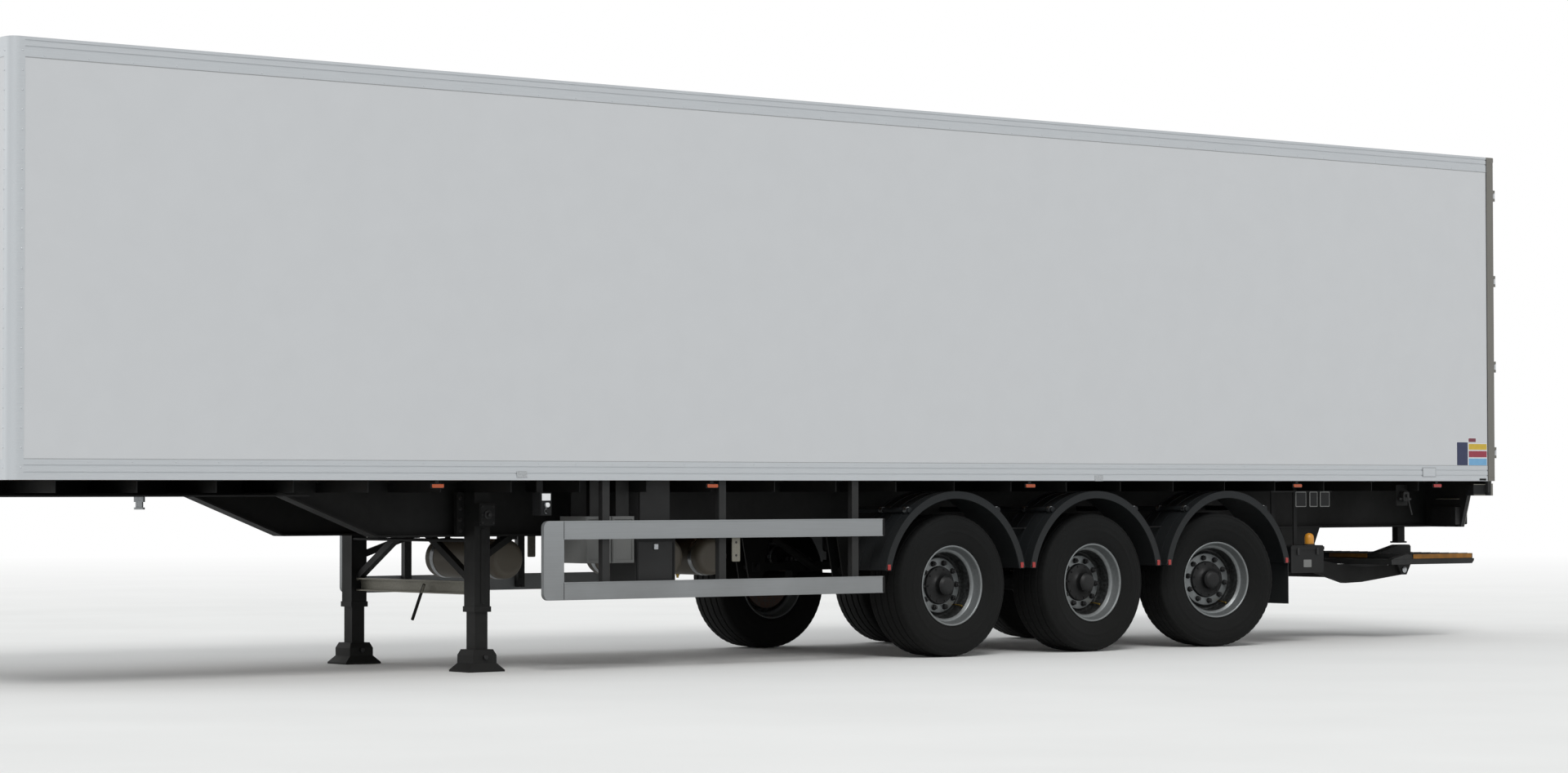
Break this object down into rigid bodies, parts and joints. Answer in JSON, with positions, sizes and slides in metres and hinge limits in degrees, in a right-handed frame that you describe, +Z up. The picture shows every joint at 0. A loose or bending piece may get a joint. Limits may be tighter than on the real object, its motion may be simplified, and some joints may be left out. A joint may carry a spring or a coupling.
{
  "type": "box semi-trailer",
  "caption": "Enclosed box semi-trailer with air-sprung axles, a self-steering rear axle, hinged rear doors, landing legs and a tail lift folded under its rear end.",
  "frame": {"origin": "on the ground below the middle of the whole trailer", "axes": "+X to the front, +Y to the trailer's left, +Z up"},
  "size_m": [13.6, 2.641, 3.965],
  "materials": {
    "panel": "satin",
    "rail": "satin",
    "guard": "satin",
    "frame_grey": "satin",
    "chassis_black": "satin",
    "steel": "satin",
    "wing": "matte",
    "floor": "satin",
    "box_black": "satin",
    "box_grey": "satin",
    "tank": "satin",
    "lamp": "gloss",
    "lift_grey": "satin",
    "lift_yellow": "satin",
    "rim": "satin",
    "tyre": "matte"
  },
  "bodies": {
    "trailer": {"floor_deck": "floor", "roof": "panel", "side_walls": "panel", "wall_front": "panel", "side_rails": "rail", "front_frame": "rail", "rear_frame": "frame_grey", "beams": "chassis_black", "cross_bearers": "chassis_black", "coupler_plate": "chassis_black", "kingpin": "steel", "axles": "chassis_black", "suspension": "chassis_black", "mudguards": "wing", "landing_legs": "chassis_black", "leg_bracing": "chassis_black", "side_guards": "guard", "lift_frame": "chassis_black", "pump_box": "box_black", "store_boxes": "box_grey", "air_tanks": "tank", "control_panel": "box_black", "lamps": "lamp"},
    "wheel_1_left": {"tyre_1_left": "tyre", "rim_1_left": "rim"},
    "wheel_1_right": {"tyre_1_right": "tyre", "rim_1_right": "rim"},
    "wheel_2_left": {"tyre_2_left": "tyre", "rim_2_left": "rim"},
    "wheel_2_right": {"tyre_2_right": "tyre", "rim_2_right": "rim"},
    "wheel_3_left": {"tyre_3_left": "tyre", "rim_3_left": "rim"},
    "wheel_3_right": {"tyre_3_right": "tyre", "rim_3_right": "rim"},
    "knuckle_left": {"knuckle_left": "chassis_black"},
    "knuckle_right": {"knuckle_right": "chassis_black"},
    "tie_rod": {"tie_rod": "chassis_black"},
    "door_left": {"door_left": "panel", "lock_gear_left": "steel"},
    "door_right": {"door_right": "panel", "lock_gear_right": "steel"},
    "lift_arms": {"lift_arms": "chassis_black"},
    "lift_platform": {"lift_platform": "lift_grey"},
    "lift_barrels": {"lift_barrels": "chassis_black"},
    "lift_rods": {"lift_rods": "steel"}
  },
  "joints": [
    {"name": "wheel_1_left_spin", "type": "hinge", "parent": "trailer", "child": "wheel_1_left", "pos_m": [-0.81, 1.048, 0.52], "axis": [0, 1, 0], "continuous": true},
    {"name": "wheel_1_right_spin", "type": "hinge", "parent": "trailer", "child": "wheel_1_right", "pos_m": [-0.81, -1.048, 0.52], "axis": [0, 1, 0], "continuous": true},
    {"name": "wheel_2_left_spin", "type": "hinge", "parent": "trailer", "child": "wheel_2_left", "pos_m": [-2.22, 1.048, 0.52], "axis": [0, 1, 0], "continuous": true},
    {"name": "wheel_2_right_spin", "type": "hinge", "parent": "trailer", "child": "wheel_2_right", "pos_m": [-2.22, -1.048, 0.52], "axis": [0, 1, 0], "continuous": true},
    {"name": "steer_left", "type": "hinge", "parent": "trailer", "child": "knuckle_left", "pos_m": [-3.63, 0.858, 0.52], "axis": [0, 0, 1], "range_deg": [-9, 35]},
    {"name": "wheel_3_left_spin", "type": "hinge", "parent": "knuckle_left", "child": "wheel_3_left", "pos_m": [-3.58726, 1.04313, 0.52], "axis": [0.225, 0.9744, 0], "continuous": true},
    {"name": "steer_right", "type": "hinge", "parent": "trailer", "child": "knuckle_right", "pos_m": [-3.63, -0.858, 0.52], "axis": [0, 0, 1], "range_deg": [-9, 35]},
    {"name": "wheel_3_right_spin", "type": "hinge", "parent": "knuckle_right", "child": "wheel_3_right", "pos_m": [-3.67274, -1.04313, 0.52], "axis": [0.225, 0.9744, 0], "continuous": true},
    {"name": "tie_rod_pivot", "type": "hinge", "parent": "knuckle_left", "child": "tie_rod", "pos_m": [-3.93806, 0.85728, 0.396], "axis": [0, 0, 1], "range_deg": [-38.1, 9.9]},
    {"name": "door_left_hinge", "type": "hinge", "parent": "trailer", "child": "door_left", "pos_m": [-6.772, 1.262, 2.585], "axis": [0, 0, -1], "range_deg": [0, 260]},
    {"name": "door_right_hinge", "type": "hinge", "parent": "trailer", "child": "door_right", "pos_m": [-6.772, -1.262, 2.585], "axis": [0, 0, 1], "range_deg": [0, 260]},
    {"name": "lift_arms_pivot", "type": "hinge", "parent": "trailer", "child": "lift_arms", "pos_m": [-5.08, 0, 0.64], "axis": [0, 1, 0], "range_deg": [-23, 0]},
    {"name": "lift_platform_pivot", "type": "hinge", "parent": "lift_arms", "child": "lift_platform", "pos_m": [-6.33, 0, 0.55], "axis": [0, -1, 0], "range_deg": [0, 15]},
    {"name": "lift_barrels_pivot", "type": "hinge", "parent": "trailer", "child": "lift_barrels", "pos_m": [-5.06, 0, 0.84], "axis": [0, 1, 0], "range_deg": [-19.2, 0]},
    {"name": "lift_rods_slide", "type": "slide", "parent": "lift_barrels", "child": "lift_rods", "axis": [-0.8998, 0, -0.4363], "range_m": [0, 0.0625]}
  ],
  "couplings": [
    {"joint": "steer_right", "follows": "steer_left", "ratio": 1},
    {"joint": "tie_rod_pivot", "follows": "steer_left", "ratio": -1.086},
    {"joint": "lift_barrels_pivot", "follows": "lift_arms_pivot", "ratio": 0.832},
    {"joint": "lift_rods_slide", "follows": "lift_arms_pivot", "m_per_rad": -0.1546}
  ]
}
